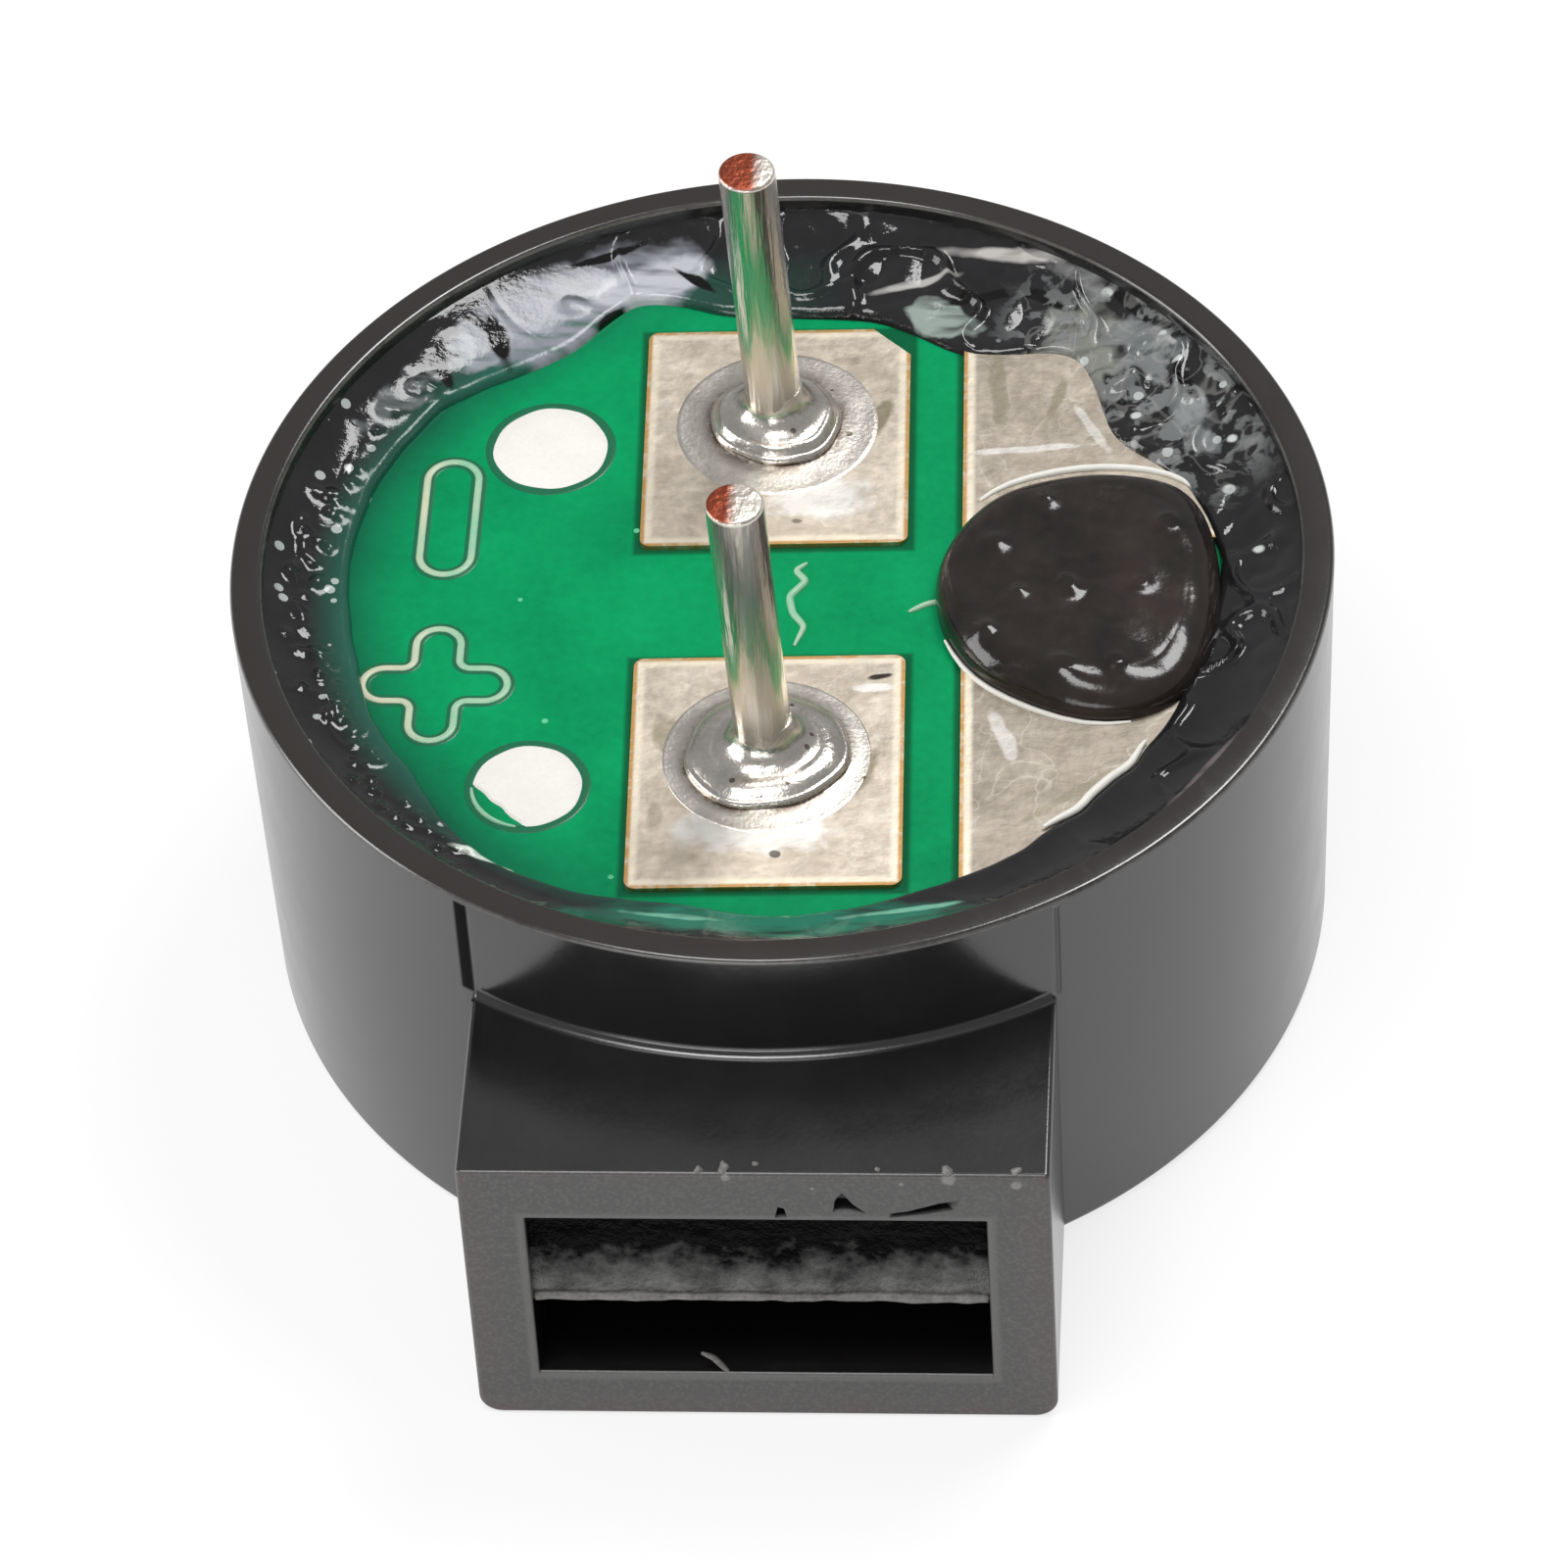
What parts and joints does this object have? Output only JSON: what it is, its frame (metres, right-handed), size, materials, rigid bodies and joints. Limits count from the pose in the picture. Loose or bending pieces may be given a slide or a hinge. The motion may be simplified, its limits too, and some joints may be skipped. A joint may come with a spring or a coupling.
{
  "type": "side-sounding magnetic buzzer",
  "caption": "Round board-mount buzzer with a side sound spout, two tinned wire pins and a sealed open end showing its green circuit board.",
  "frame": {"origin": "middle of the grained sound face, on the case's axis; the buzzer lies on that face", "axes": "+Z from the sound face to the open end with the pins, -Y towards the spout's end, +X to the side of the coil leads"},
  "size_m": [0.012, 0.0137, 0.0087],
  "materials": {
    "case_moulding": "satin black moulding, spark-grained on the sound face",
    "spring_steel": "cold-rolled",
    "soft_iron": "plated",
    "inner_moulding": "matt",
    "ferrite": "sintered, matt",
    "enamelled_copper": "enamelled wire",
    "green_board": "green solder mask",
    "tinned_land": "hot-dipped tin",
    "tinned_wire": "drawn and tinned",
    "solder": "bright solder",
    "black_glue": "glossy glue",
    "sealing_resin": "glossy resin"
  },
  "bodies": {
    "root": {"case": "case_moulding", "diaphragm": "spring_steel", "armature_disc": "soft_iron", "support_ring": "inner_moulding", "yoke_plate": "soft_iron", "ring_magnet": "ferrite", "pole_core": "soft_iron", "coil": "enamelled_copper", "circuit_board": "green_board", "front_pin_land": "tinned_land", "rear_pin_land": "tinned_land", "front_wire_land": "tinned_land", "rear_wire_land": "tinned_land", "front_pin": "tinned_wire", "rear_pin": "tinned_wire", "front_solder_joint": "solder", "rear_solder_joint": "solder", "front_coil_lead": "enamelled_copper", "rear_coil_lead": "enamelled_copper", "front_wire_joint": "solder", "rear_wire_joint": "solder", "lead_cover": "black_glue", "sealing_compound": "sealing_resin"}
  },
  "joints": []
}
